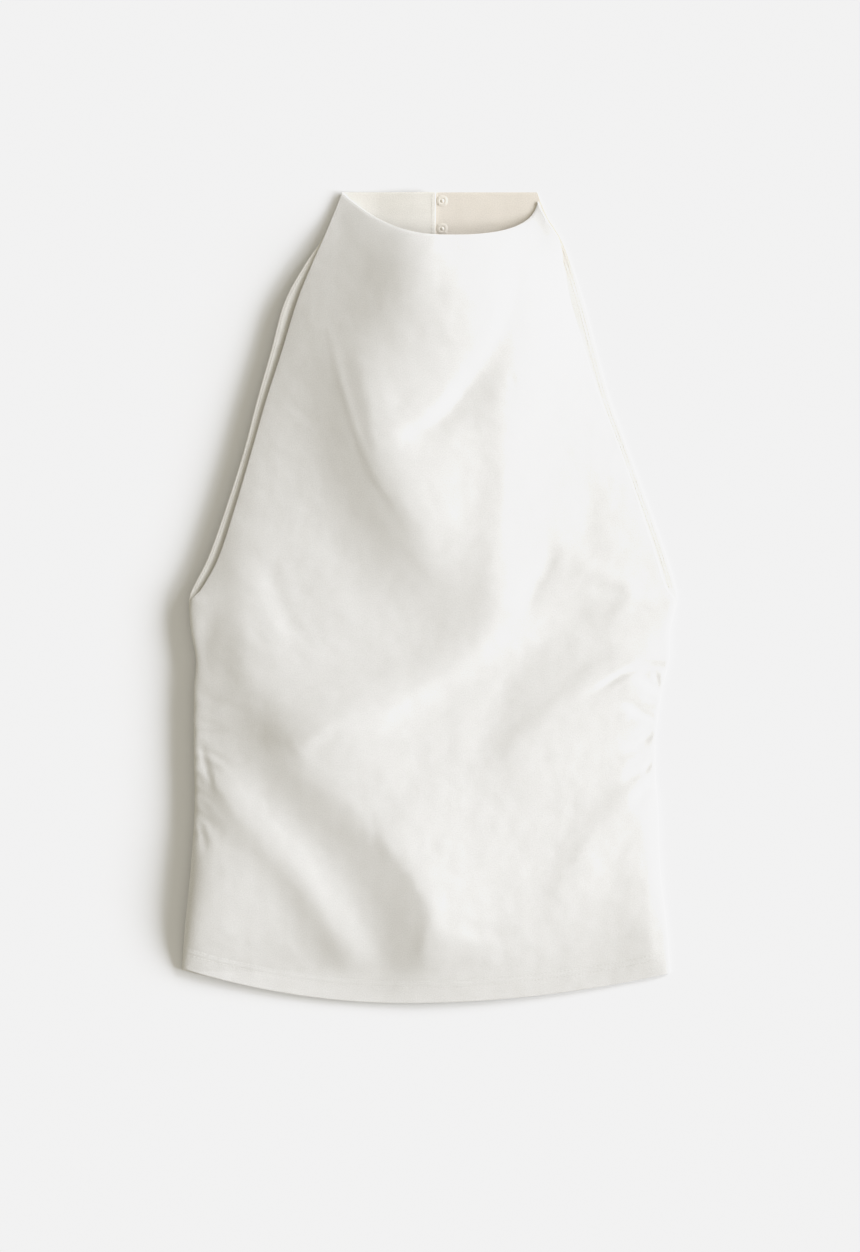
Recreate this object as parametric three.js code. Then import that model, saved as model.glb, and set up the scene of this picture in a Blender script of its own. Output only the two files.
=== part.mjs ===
// Halter neck top in white cotton jersey, laid flat on its back with the neck opening up.
// Millimetres. X runs across the top, Y from the hem to the neck, Z up off the table.
// The origin is on the table under the middle of the garment's box.

import * as THREE from 'three';
import { mergeVertices } from 'three/addons/utils/BufferGeometryUtils.js';

// Cloth
const CLOTH = 1.2;
const SEAM_GAP = 0.3;
const CLOTH_COLOUR = 0xf2f1ea;
const CLOTH_SHADE = 0xe9e6da;
const STUD_COLOUR = 0xdedac4;

// Neck
const NECK_Y = 317.1;
const NECK_DROP = 34.6;
const NECK_LOW_X = 9.75;
const NECK_LEFT = { reach: 78.05, power: 2.15 };
const NECK_RIGHT = { reach: 75.2, power: 2.7 };
const NECK_PULL = 8;

// Hem
const HEM_Y = -317.1;
const HEM_LOW_X = -19.1;
const HEM_LEFT = { reach: 174.7, rise: 27.3 };
const HEM_RIGHT = { reach: 207.5, rise: 23.4 };
const BACK_HEM_TUCK = 2;
const BACK_HEM_PEEK = 1.3;
const BACK_HEM_TURN = 45;

// Outline of the back from neck to hem. shows is how far it reaches past the front's armholes,
// and lift is how high its left side curls off the table.
const OUTLINE = [
  { y: 317.1, left: -68.3, right: 84.6, shows: 0, lift: 0.6 },
  { y: 298.4, left: -75.7, right: 92.4, shows: 0, lift: 1.4 },
  { y: 280.4, left: -83.5, right: 103.4, shows: 0.5, lift: 3.4 },
  { y: 261.7, left: -96.3, right: 110.8, shows: 5, lift: 4.8 },
  { y: 232.1, left: -112.7, right: 120.5, shows: 9.5, lift: 5.8 },
  { y: 193.1, left: -123.6, right: 130.7, shows: 8.5, lift: 6.4 },
  { y: 154.1, left: -134.6, right: 141.6, shows: 7, lift: 6.8 },
  { y: 115.1, left: -144.7, right: 155.6, shows: 6, lift: 7 },
  { y: 68.3, left: -159.5, right: 172.8, shows: 7, lift: 7 },
  { y: 29.3, left: -173.6, right: 186.4, shows: 8, lift: 6.9 },
  { y: 5.9, left: -185.6, right: 193.1, shows: 7, lift: 6.8 },
  { y: -2, left: -187.6, right: 193.8, shows: 1.5, lift: 6.8 },
  { y: -25.4, left: -186, right: 188.4, shows: 0, lift: 6.9 },
  { y: -48.8, left: -182.1, right: 187.6, shows: 0, lift: 7 },
  { y: -72.2, left: -183.7, right: 182.1, shows: 0, lift: 7 },
  { y: -119, left: -183.7, right: 176.7, shows: 0, lift: 7 },
  { y: -165.8, left: -183.3, right: 179, shows: 0, lift: 6.9 },
  { y: -212.6, left: -186.4, right: 180.6, shows: 0, lift: 6.8 },
  { y: -259.4, left: -191.1, right: 186, shows: 0, lift: 5.8 },
  { y: -292.1, left: -193.8, right: 188.4, shows: 0, lift: 1 },
];

// How the cloth rises: the back curls up at its sides, the front rolls over them into a low dome.
// The right side lies lower, and its armhole edge droops at the rim.
const BACK_CURL = { reach: 34, droop: 0.8, droopReach: 9 };
const RIGHT_SHARE = { lift: 0.15, roll: 0.3 };
const SIDE_ROLL = { rise: 2, reach: 18 };
const DOME = { rise: 7.2, crest: 0.62, hemShare: 0.1, hemReach: 78 };
const RIM_HOLD = 5;

// Large folds of the front. Each path runs through [x, y] points; west and east are its widths
// on either side, rise is its height (a hollow where negative), and start and end are the
// shares of its length over which it grows and dies away.
const FOLDS = [
  { path: [[-6, 290], [-8, 262], [-22, 230], [-50, 192]],
    rise: 6.2, west: 44, east: 76, start: 0, end: 0.3 },
  { path: [[-54, 205], [-54, 178], [-44, 154], [-39, 131], [-34, 107],
    [-21, 84], [-7, 60], [7, 37], [18, 14]],
    rise: 6.6, west: 38, east: 64, start: 0.15, end: 0.12 },
  { path: [[73, 243], [62, 211], [38, 173], [8, 136], [-27, 121]],
    rise: -1.3, west: 10, east: 18, start: 0.2, end: 0.2 },
  { path: [[82, 245], [71, 202], [60, 170], [60, 120], [60, 84], [54, 45], [49, 5], [46, -33]],
    rise: 1.4, west: 20, east: 30, start: 0.45, end: 0.15 },
  { path: [[45, 50], [43, 0], [30, -45]], rise: 1.6, west: 34, east: 30, start: 0.35, end: 0.35 },
  { path: [[-113, -97], [-78, -97], [-35, -84], [2, -63], [35, -39], [63, -17], [86, 6]],
    rise: 3, west: 26, east: 15, start: 0.03, end: 0.35 },
  { path: [[145, 6], [121, -14], [90, -35], [67, -58], [55, -80], [46, -107], [30, -131]],
    rise: -0.9, west: 16, east: 16, start: 0.2, end: 0.2 },
  { path: [[188, -43], [164, -45], [141, -53], [117, -72], [90, -96], [63, -123], [43, -135]],
    rise: 1.5, west: 9, east: 40, start: 0.1, end: 0.15 },
  { path: [[176, -131], [142, -170], [113, -213], [90, -259]],
    rise: 1, west: 14, east: 20, start: 0.05, end: 0.4 },
  { path: [[172, -150], [170, -215], [172, -290]], rise: 0.9, west: 20, east: 12, start: 0.2, end: 0 },
  { path: [[-149, 6], [-142, -33], [-129, -62], [-113, -92], [-99, -117],
    [-78, -144], [-50, -170], [-15, -211], [2, -246], [-3, -306]],
    rise: 4.8, west: 31, east: 80, start: 0.08, end: 0 },
  { path: [[-175, -135], [-143, -174], [-120, -197], [-99, -220], [-70, -267], [-50, -291]],
    rise: 1.5, west: 14, east: 17, start: 0.08, end: 0 },
  { path: [[-191, -170], [-191, -220], [-193, -290]], rise: 3.6, west: 30, east: 62, start: 0.3, end: 0 },
];

// Gathers of the side seams. side is -1 at the left and 1 at the right, y is where the gather
// leaves the seam, reach and fall are how far it runs in and down, and depth and width its size.
const GATHERS = [
  { side: -1, y: -86, reach: 26, fall: -8, depth: 0.6, width: 4.5 },
  { side: -1, y: -106, reach: 34, fall: -2, depth: 0.9, width: 4.5 },
  { side: -1, y: -127, reach: 26, fall: 12, depth: 1.1, width: 4.2 },
  { side: -1, y: -139, reach: 18, fall: 12, depth: 0.8, width: 3.8 },
  { side: -1, y: -150, reach: 30, fall: 20, depth: 1.1, width: 4.5 },
  { side: -1, y: -167, reach: 26, fall: 26, depth: 1, width: 4.5 },
  { side: -1, y: -185, reach: 14, fall: 22, depth: 0.7, width: 4.5 },
  { side: 1, y: -52, reach: 40, fall: 8, depth: 0.7, width: 4.2 },
  { side: 1, y: -72, reach: 20, fall: -12, depth: 1, width: 4 },
  { side: 1, y: -88, reach: 34, fall: -6, depth: 1, width: 4.2 },
  { side: 1, y: -101, reach: 18, fall: 6, depth: 0.9, width: 3.8 },
  { side: 1, y: -113, reach: 28, fall: 4, depth: 1, width: 4.2 },
  { side: 1, y: -129, reach: 30, fall: 20, depth: 0.9, width: 4.5 },
  { side: 1, y: -145, reach: 22, fall: 22, depth: 0.7, width: 4.5 },
];

// Back opening: the left half lies over the right half above the slit's end.
const SLIT = { topX: 4.84, hemX: -2, depth: 120, underlap: 14, closeOver: 10 };
const OVERLAP = { ramp: 70, hold: 3, fall: 60 };
const STUDS = [
  { name: 'upper', y: 310.4 },
  { name: 'lower', y: 288.6 },
];
const STUD_X = 10;
const STUD_RADIUS = 4.5;
const STUD_SIDES = 24;
const BALL = { inset: 7, height: 1.1, clear: 1, spread: 45 };

// Turned outlines of a press stud's halves, from the axis at the foot round to the axis on top.
// The socket is a flanged ring around a recess with a domed post, the ball a flange with a knob.
const SOCKET_STEPS = [
  { radius: 0, height: 0 },
  { radius: STUD_RADIUS, height: 0 },
  { radius: STUD_RADIUS, height: 0.6 },
  { radius: 3.9, height: 0.9 },
  { radius: 3.2, height: 1.9 },
  { radius: 2.4, height: 1.9 },
  { radius: 2.1, height: 1 },
  { radius: 1.4, height: 1 },
  { radius: 1.2, height: 1.6 },
  { radius: 0, height: 1.9 },
];
const BALL_STEPS = [
  { radius: 0, height: 0 },
  { radius: STUD_RADIUS, height: 0 },
  { radius: STUD_RADIUS, height: 0.6 },
  { radius: 1.6, height: 0.8 },
  { radius: 1.3, height: BALL.height },
  { radius: 0, height: BALL.height },
];

// Steps of the meshes. A zone gives how many rows lie up to a share of the height.
const FRONT_COLUMNS = 36;
const FRONT_ZONES = [{ to: 0.19, rows: 9 }, { to: 0.476, rows: 34 }, { to: 1, rows: 24 }];
const BACK_COLUMNS = 10;
const BACK_ZONES = [
  { to: 0.476, rows: 13 },
  { to: 0.78, rows: 9 },
  { to: 0.93, rows: 7 },
  { to: 1, rows: 6 },
];
const FRONT_CROWDING = 0.05;
const BACK_CROWDING = 0.1;
const MERGE_DISTANCE = 1e-4;
const SLOPE_STEP = 0.5;

const clamp = THREE.MathUtils.clamp;
const lerp = THREE.MathUtils.lerp;
const ease = (t) => THREE.MathUtils.smoothstep(t, 0, 1);

// Slope of one column of the outline at a row, from its neighbours.
function outlineSlope(column, row) {
  const above = OUTLINE[Math.max(row - 1, 0)];
  const below = OUTLINE[Math.min(row + 1, OUTLINE.length - 1)];
  return (above[column] - below[column]) / (above.y - below.y);
}

// Value of one column of the outline at a height y, on a smooth curve through the rows.
function outline(column, y) {
  const last = OUTLINE.length - 1;
  if (y >= OUTLINE[0].y) return OUTLINE[0][column];
  if (y <= OUTLINE[last].y) return OUTLINE[last][column];
  const row = OUTLINE.findIndex((section) => section.y < y);
  const from = OUTLINE[row];
  const to = OUTLINE[row - 1];
  const span = to.y - from.y;
  const t = (y - from.y) / span;
  const rise = t * t * (3 - 2 * t);
  const leave = t * (1 - t) * (1 - t) * span * outlineSlope(column, row);
  const arrive = t * t * (t - 1) * span * outlineSlope(column, row - 1);
  return lerp(from[column], to[column], rise) + leave + arrive;
}

const backShows = (y) => Math.max(0, outline('shows', y));
const frontLeft = (y) => outline('left', y) + backShows(y);
const frontRight = (y) => outline('right', y) - backShows(y);
const slitX = (y) => lerp(SLIT.hemX, SLIT.topX, (y - HEM_Y) / (NECK_Y - HEM_Y));

// Height of the front's neckline at x: a shallow scoop, fuller on the right.
function neckline(x) {
  if (x < NECK_LOW_X) {
    const t = clamp((NECK_LOW_X - x) / NECK_LEFT.reach, 0, 1);
    return NECK_Y - NECK_DROP * (1 - t ** NECK_LEFT.power);
  }
  const t = clamp((x - NECK_LOW_X) / NECK_RIGHT.reach, 0, 1);
  return NECK_Y - NECK_DROP * (1 - t ** NECK_RIGHT.power) ** (1 / NECK_RIGHT.power);
}

// Height of the hem at x: a bow, lowest a little left of the middle.
function hemline(x) {
  const side = x < HEM_LOW_X ? HEM_LEFT : HEM_RIGHT;
  return HEM_Y + side.rise * ((x - HEM_LOW_X) / side.reach) ** 2;
}

// Height of the back's hem, tucked behind the front's but showing at the left corner.
function backHemline(x) {
  const turn = ease((x - outline('left', HEM_Y)) / BACK_HEM_TURN);
  return hemline(x) + lerp(-BACK_HEM_PEEK, BACK_HEM_TUCK, turn);
}

// Samples of a fold: places along its path, with the direction, length and strength of each.
function foldSamples(fold) {
  const points = fold.path.map(([x, y]) => new THREE.Vector3(x, y, 0));
  const route = new THREE.CatmullRomCurve3(points);
  const length = route.getLength();
  const soft = Math.min(fold.west, fold.east);
  const count = Math.ceil(length / (0.5 * soft));
  const chord = points[points.length - 1].clone().sub(points[0]);
  const turn = chord.y < 0 ? 1 : -1;
  const samples = [];
  for (let i = 0; i < count; i += 1) {
    const share = (i + 0.5) / count;
    const grow = fold.start > 0 ? ease(share / fold.start) : 1;
    const die = fold.end > 0 ? ease((1 - share) / fold.end) : 1;
    const tangent = route.getTangentAt(share);
    samples.push({
      at: route.getPointAt(share),
      eastX: -tangent.y * turn,
      eastY: tangent.x * turn,
      strength: (fold.rise * grow * die * length) / (count * soft * Math.sqrt(Math.PI)),
      west: fold.west,
      east: fold.east,
      soft,
    });
  }
  return samples;
}

// A gather as a short fold that runs in from the side seam.
function gatherFold(gather) {
  const seam = outline(gather.side < 0 ? 'left' : 'right', gather.y);
  const inner = seam - gather.side * gather.reach;
  const middle = (seam + inner) / 2;
  return {
    path: [[seam, gather.y], [middle, gather.y - gather.fall * 0.4], [inner, gather.y - gather.fall]],
    rise: -gather.depth,
    west: gather.width,
    east: gather.width,
    start: 0,
    end: 0.7,
  };
}

const CREASES = [...FOLDS, ...GATHERS.map(gatherFold)].flatMap(foldSamples);

// Sum of all folds at a place.
function foldHeight(x, y) {
  return CREASES.reduce((sum, crease) => {
    const dx = x - crease.at.x;
    const dy = y - crease.at.y;
    const across = dx * crease.eastX + dy * crease.eastY;
    const along = dx * crease.eastY - dy * crease.eastX;
    const width = across < 0 ? crease.west : crease.east;
    return sum + crease.strength * Math.exp(-((across / width) ** 2) - (along / crease.soft) ** 2);
  }, 0);
}

// Upper surface of the front.
function frontTop(x, y) {
  const left = frontLeft(y);
  const right = frontRight(y);
  const inside = Math.max(0, Math.min(x - left, right - x));
  const share = clamp((x - left) / (right - left), 0, 1);
  const arm = share < DOME.crest ? DOME.crest : 1 - DOME.crest;
  const bow = 1 - ((share - DOME.crest) / arm) ** 2;
  const hem = lerp(DOME.hemShare, 1, ease((y - hemline(x)) / DOME.hemReach));
  const rise = SIDE_ROLL.rise * lerp(1, RIGHT_SHARE.roll, ease(share));
  const roll = rise * (1 - Math.exp(-inside / SIDE_ROLL.reach));
  const rim = outline('lift', y) * lerp(1, RIGHT_SHARE.lift, ease(share));
  const hold = 1 - Math.exp(-inside / RIM_HOLD);
  const walls = CLOTH + SEAM_GAP + CLOTH;
  return rim + walls + (roll + DOME.rise * bow) * hem + foldHeight(x, y) * hold;
}

// How high one side of the back curls off the table at a distance inside its edge.
const curl = (height, inside) => height * ease(1 - inside / BACK_CURL.reach);

// Underside of the back: flat on the table, curled up along both sides, with the right rim drooping.
function backBottom(x, y) {
  const leftInside = Math.max(0, x - outline('left', y));
  const rightInside = Math.max(0, outline('right', y) - x);
  const rightHeight = outline('lift', y) * RIGHT_SHARE.lift;
  const droop = BACK_CURL.droop * ease(outline('shows', y) / BACK_CURL.droopReach);
  const rim = clamp(1 - rightInside / BACK_CURL.droopReach, 0, 1) ** 1.5;
  const left = curl(outline('lift', y), leftInside);
  return left + curl(rightHeight, rightInside) - Math.min(rightHeight, droop) * rim;
}

// Extra height of the left half where it lies over the right half and over the hidden studs.
function overlapLift(x, y) {
  const foot = slitX(y) - SLIT.underlap - OVERLAP.hold - OVERLAP.ramp;
  const across = ease((x - foot) / OVERLAP.ramp);
  const slitEnd = NECK_Y - SLIT.depth;
  const along = ease((y - slitEnd + OVERLAP.fall) / (OVERLAP.fall - OVERLAP.hold));
  const bump = STUDS.reduce((most, stud) => {
    const away = Math.hypot(x - (slitX(stud.y) - BALL.inset), y - stud.y);
    return Math.max(most, 1 - ease((away - STUD_RADIUS - BALL.clear) / BALL.spread));
  }, 0);
  return (CLOTH + SEAM_GAP) * across * along + (BALL.height + SEAM_GAP) * bump;
}

// Left edge of the right half: the underlap along the slit, then the centre back seam.
function rightHalfEdge(y) {
  const lap = ease((y - (NECK_Y - SLIT.depth)) / SLIT.closeOver);
  return slitX(y) + SEAM_GAP - (SLIT.underlap + SEAM_GAP) * lap;
}

// Shares from 0 to 1 for the rows of a mesh, zone by zone.
function rowShares(zones) {
  const shares = [0];
  let from = 0;
  for (const zone of zones) {
    for (let i = 1; i <= zone.rows; i += 1) shares.push(lerp(from, zone.to, i / zone.rows));
    from = zone.to;
  }
  return shares;
}

// Shares from 0 to 1 for the columns of a mesh, closer together near both ends.
function columnShares(count, crowding) {
  const shares = [];
  for (let i = 0; i <= count; i += 1) {
    const t = i / count;
    shares.push(t - crowding * Math.sin(2 * Math.PI * t));
  }
  return shares;
}

// Place on the front's plan for shares across and up.
function frontPlan(u, v) {
  const hemX = lerp(frontLeft(HEM_Y), frontRight(HEM_Y), u);
  const neckX = lerp(frontLeft(NECK_Y), frontRight(NECK_Y), u);
  const neckY = neckline(neckX);
  const y = lerp(hemline(hemX), neckY, v);
  const x = lerp(frontLeft(y), frontRight(y), u);
  const pull = v ** NECK_PULL;
  return [x + (neckX - lerp(frontLeft(neckY), frontRight(neckY), u)) * pull, y];
}

// Place on the plan of one half of the back, between two edges given as functions of y.
function backPlan(u, v, leftEdge, rightEdge) {
  const hemX = lerp(leftEdge(HEM_Y), rightEdge(HEM_Y), u);
  const y = lerp(backHemline(hemX), NECK_Y, v);
  return [lerp(leftEdge(y), rightEdge(y), u), y];
}

// Point of the front's upper or lower face over a place on the plan.
function frontPoint([x, y], isUpper) {
  const z = frontTop(x, y);
  if (isUpper) return new THREE.Vector3(x, y, z);
  const slopeX = (frontTop(x + SLOPE_STEP, y) - frontTop(x - SLOPE_STEP, y)) / (2 * SLOPE_STEP);
  const slopeY = (frontTop(x, y + SLOPE_STEP) - frontTop(x, y - SLOPE_STEP)) / (2 * SLOPE_STEP);
  const normal = new THREE.Vector3(-slopeX, -slopeY, 1).normalize();
  return new THREE.Vector3(x, y, z).addScaledVector(normal, -CLOTH);
}

// Closed wall between an upper and a lower face over the same grid of shares.
function wall(columns, rows, pointAt) {
  const across = columns.length;
  const layer = across * rows.length;
  const positions = [];
  for (const isUpper of [true, false]) {
    for (const v of rows) {
      for (const u of columns) positions.push(...pointAt(u, v, isUpper).toArray());
    }
  }
  const index = [];
  const quad = (a, b, c, d) => index.push(a, b, c, a, c, d);
  const at = (i, j) => j * across + i;
  for (let j = 0; j < rows.length - 1; j += 1) {
    for (let i = 0; i < across - 1; i += 1) {
      quad(at(i, j), at(i + 1, j), at(i + 1, j + 1), at(i, j + 1));
      quad(layer + at(i, j), layer + at(i, j + 1), layer + at(i + 1, j + 1), layer + at(i + 1, j));
    }
  }
  const rim = [];
  for (let i = 0; i < across - 1; i += 1) rim.push(at(i, 0));
  for (let j = 0; j < rows.length - 1; j += 1) rim.push(at(across - 1, j));
  for (let i = across - 1; i > 0; i -= 1) rim.push(at(i, rows.length - 1));
  for (let j = rows.length - 1; j > 0; j -= 1) rim.push(at(0, j));
  rim.forEach((from, k) => {
    const to = rim[(k + 1) % rim.length];
    quad(layer + from, layer + to, to, from);
  });
  const geometry = new THREE.BufferGeometry();
  geometry.setAttribute('position', new THREE.Float32BufferAttribute(positions, 3));
  geometry.setIndex(index);
  geometry.computeVertexNormals();
  return geometry;
}

function cloth(name, geometry, color) {
  const material = new THREE.MeshStandardMaterial({ color, roughness: 0.95, metalness: 0 });
  const mesh = new THREE.Mesh(geometry, material);
  mesh.name = name;
  return mesh;
}

function frontPanel() {
  const columns = columnShares(FRONT_COLUMNS, FRONT_CROWDING);
  const pointAt = (u, v, isUpper) => frontPoint(frontPlan(u, v), isUpper);
  return cloth('front_panel', wall(columns, rowShares(FRONT_ZONES), pointAt), CLOTH_COLOUR);
}

function backHalf(name, leftEdge, rightEdge, lift) {
  const pointAt = (u, v, isUpper) => {
    const [x, y] = backPlan(u, v, leftEdge, rightEdge);
    const bottom = backBottom(x, y) + lift(x, y);
    return new THREE.Vector3(x, y, isUpper ? bottom + CLOTH : bottom);
  };
  const columns = columnShares(BACK_COLUMNS, BACK_CROWDING);
  return cloth(name, wall(columns, rowShares(BACK_ZONES), pointAt), CLOTH_SHADE);
}

// Half of a press stud, turned from its steps and laid on the right half's face.
function studHalf(name, steps, x, y) {
  const points = steps.map(({ radius, height }) => new THREE.Vector2(radius, height));
  const turned = new THREE.LatheGeometry(points, STUD_SIDES);
  turned.deleteAttribute('normal');
  turned.deleteAttribute('uv');
  const geometry = mergeVertices(turned, MERGE_DISTANCE);
  geometry.rotateX(Math.PI / 2);
  geometry.computeVertexNormals();
  const material = new THREE.MeshStandardMaterial({ color: STUD_COLOUR, roughness: 0.3, metalness: 0 });
  const mesh = new THREE.Mesh(geometry, material);
  mesh.name = name;
  mesh.position.set(x, y, CLOTH + SEAM_GAP);
  return mesh;
}

const backLeftEdge = (y) => outline('left', y);
const backRightEdge = (y) => outline('right', y);
const onTable = () => 0;

const top = new THREE.Group();
top.add(frontPanel());
top.add(backHalf('back_left_panel', backLeftEdge, slitX, overlapLift));
top.add(backHalf('back_right_panel', rightHalfEdge, backRightEdge, onTable));
for (const stud of STUDS) {
  const ballX = slitX(stud.y) - BALL.inset;
  top.add(studHalf(`stud_${stud.name}_socket`, SOCKET_STEPS, STUD_X, stud.y));
  top.add(studHalf(`stud_${stud.name}_ball`, BALL_STEPS, ballX, stud.y));
}

export default top;
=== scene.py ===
"""Looks of a halter neck top in off-white cotton jersey, laid flat on its back with the neck up.

The garment's sizes are in millimetres, as a cutter notes them, and its meshes are in metres.
X runs across the top, Y from the hem to the neck and Z up off the table.
"""

import logging
import math
from collections.abc import Callable
from dataclasses import dataclass
from enum import Enum

import bpy
import numpy as np
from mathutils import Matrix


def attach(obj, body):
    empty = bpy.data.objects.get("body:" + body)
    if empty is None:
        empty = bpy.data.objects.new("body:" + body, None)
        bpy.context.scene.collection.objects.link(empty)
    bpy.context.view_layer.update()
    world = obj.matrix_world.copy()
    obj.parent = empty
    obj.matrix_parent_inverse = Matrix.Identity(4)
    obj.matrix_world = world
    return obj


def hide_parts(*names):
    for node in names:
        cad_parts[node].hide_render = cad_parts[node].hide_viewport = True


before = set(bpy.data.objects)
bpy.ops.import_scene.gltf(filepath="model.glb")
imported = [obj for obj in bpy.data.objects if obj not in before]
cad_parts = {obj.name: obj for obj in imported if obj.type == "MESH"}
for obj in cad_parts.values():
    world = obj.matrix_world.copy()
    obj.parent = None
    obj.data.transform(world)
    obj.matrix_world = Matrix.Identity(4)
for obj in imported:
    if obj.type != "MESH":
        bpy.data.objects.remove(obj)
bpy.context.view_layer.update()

MM = 0.001
BODY = "root"
EDGE_ROUNDING = 0.3
EDGE_ANGLE = 60
log = logging.getLogger("halter_top")

Array = np.ndarray
Values = np.ndarray | float
Pair = tuple[float, float]
Colour = tuple[float, float, float]
Piece = bpy.types.Object
Material = bpy.types.Material
Socket = bpy.types.NodeSocket


class Side(Enum):
    """The two sides of the garment, as they lie in the frame."""

    LEFT = -1
    RIGHT = 1


def ease(t: Values) -> Array:
    """Returns a smooth step from 0 to 1 as t goes from 0 to 1."""
    t = np.clip(t, 0, 1)
    return t * t * (3 - 2 * t)


def blend(low: Values, high: Values, share: Values) -> Array:
    """Returns the value that lies a share of the way from low to high."""
    return low + (high - low) * share


def run_lengths(route: Array) -> Array:
    """Returns the running length along a line of points."""
    return np.concatenate([[0], np.cumsum(np.linalg.norm(np.diff(route, axis=0), axis=1))])


@dataclass(frozen=True)
class Section:
    """A height of the outline: the back's edges, what shows past the armholes, and the sides' lift."""

    y: float
    left: float
    right: float
    shows: float
    lift: float


@dataclass(frozen=True)
class Scoop:
    """One side of the neckline, from its lowest point to the neck's corner."""

    reach: float
    power: float


@dataclass(frozen=True)
class Bow:
    """One side of the hem, from its lowest point to the side seam."""

    reach: float
    rise: float


OUTLINE = (
    Section(317.1, -68.3, 84.6, 0, 0.6),
    Section(298.4, -75.7, 92.4, 0, 1.4),
    Section(280.4, -83.5, 103.4, 0.5, 3.4),
    Section(261.7, -96.3, 110.8, 5, 4.8),
    Section(232.1, -112.7, 120.5, 9.5, 5.8),
    Section(193.1, -123.6, 130.7, 8.5, 6.4),
    Section(154.1, -134.6, 141.6, 7, 6.8),
    Section(115.1, -144.7, 155.6, 6, 7),
    Section(68.3, -159.5, 172.8, 7, 7),
    Section(29.3, -173.6, 186.4, 8, 6.9),
    Section(5.9, -185.6, 193.1, 7, 6.8),
    Section(-2, -187.6, 193.8, 1.5, 6.8),
    Section(-25.4, -186, 188.4, 0, 6.9),
    Section(-48.8, -182.1, 187.6, 0, 7),
    Section(-72.2, -183.7, 182.1, 0, 7),
    Section(-119, -183.7, 176.7, 0, 7),
    Section(-165.8, -183.3, 179, 0, 6.9),
    Section(-212.6, -186.4, 180.6, 0, 6.8),
    Section(-259.4, -191.1, 186, 0, 5.8),
    Section(-292.1, -193.8, 188.4, 0, 1),
)


@dataclass(frozen=True)
class Pattern:
    """The garment's plan as it lies: its outline, neckline, hem and back opening."""

    neck_y: float = 317.1
    neck_drop: float = 34.6
    neck_low_x: float = 9.75
    neck_left: Scoop = Scoop(78.05, 2.15)
    neck_right: Scoop = Scoop(75.2, 2.7)
    hem_y: float = -317.1
    hem_low_x: float = -19.1
    hem_left: Bow = Bow(174.7, 27.3)
    hem_right: Bow = Bow(207.5, 23.4)
    hem_tuck: float = 0.5
    hem_peek: float = 1.3
    hem_turn: float = 45
    hem_depth: float = 17
    needle_gap: float = 4.5
    slit_top_x: float = 4.84
    slit_hem_x: float = -2
    slit_depth: float = 120
    underlap: float = 14
    close_over: float = 10
    seam_gap: float = 0.3

    def edge(self, column: str, y: Values) -> Array:
        """Reads one column of the outline on a smooth curve through its rows.

        Args:
            column: The name of a Section's field.
            y: Heights in millimetres.

        Returns:
            The column's values at those heights.
        """
        rows = OUTLINE[::-1]
        heights = np.array([row.y for row in rows])
        values = np.array([getattr(row, column) for row in rows])
        low = np.maximum(np.arange(len(rows)) - 1, 0)
        high = np.minimum(np.arange(len(rows)) + 1, len(rows) - 1)
        slopes = (values[high] - values[low]) / (heights[high] - heights[low])
        y = np.clip(y, heights[0], heights[-1])
        i = np.clip(np.searchsorted(heights, y, side="right") - 1, 0, len(rows) - 2)
        span = heights[i + 1] - heights[i]
        t = (y - heights[i]) / span
        leave = t * (1 - t) ** 2 * span * slopes[i]
        arrive = t * t * (t - 1) * span * slopes[i + 1]
        return blend(values[i], values[i + 1], ease(t)) + leave + arrive

    def back_edge(self, side: Side, y: Values) -> Array:
        """Returns the back's edge on one side, at heights y."""
        return self.edge("left" if side is Side.LEFT else "right", y)

    def front_edge(self, side: Side, y: Values) -> Array:
        """Returns the front's edge on one side, inside the back's by what shows."""
        return self.back_edge(side, y) - side.value * np.maximum(0, self.edge("shows", y))

    def front_edges(self, y: Values) -> tuple[Array, Array]:
        """Returns the front's left and right edges at heights y."""
        return self.front_edge(Side.LEFT, y), self.front_edge(Side.RIGHT, y)

    def slit_x(self, y: Values) -> Array:
        """Returns the centre back line, which leans a little, at heights y."""
        return blend(self.slit_hem_x, self.slit_top_x, (y - self.hem_y) / (self.neck_y - self.hem_y))

    def slit_end(self) -> float:
        """Returns the height at which the back opening ends."""
        return self.neck_y - self.slit_depth

    def right_half_edge(self, y: Values) -> Array:
        """Returns the right half's inner edge: the underlap, then the centre back seam."""
        lap = ease((y - self.slit_end()) / self.close_over)
        return self.slit_x(y) + self.seam_gap - (self.underlap + self.seam_gap) * lap

    def neckline(self, x: Array) -> Array:
        """Follows the front's neckline, a scoop that is fuller on the right.

        Args:
            x: Places across.

        Returns:
            The neckline's height there.
        """
        left = np.clip((self.neck_low_x - x) / self.neck_left.reach, 0, 1)
        right = np.clip((x - self.neck_low_x) / self.neck_right.reach, 0, 1)
        on_left = 1 - left**self.neck_left.power
        on_right = (1 - right**self.neck_right.power) ** (1 / self.neck_right.power)
        return self.neck_y - self.neck_drop * np.where(x < self.neck_low_x, on_left, on_right)

    def hemline(self, x: Array) -> Array:
        """Returns the height of the hem, a bow that is lowest a little left of the middle."""
        left = self.hem_left.rise * ((x - self.hem_low_x) / self.hem_left.reach) ** 2
        right = self.hem_right.rise * ((x - self.hem_low_x) / self.hem_right.reach) ** 2
        return self.hem_y + np.where(x < self.hem_low_x, left, right)

    def back_hemline(self, x: Array) -> Array:
        """Returns the back's hem, tucked behind the front's but showing at the left corner."""
        turn = ease((x - self.back_edge(Side.LEFT, self.hem_y)) / self.hem_turn)
        return self.hemline(x) + blend(-self.hem_peek, self.hem_tuck, turn)

    def needle_rows(self) -> Pair:
        """Returns how far above the hem's edge the twin needle's two rows lie."""
        return self.hem_depth, self.hem_depth - self.needle_gap


PATTERN = Pattern()


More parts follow.
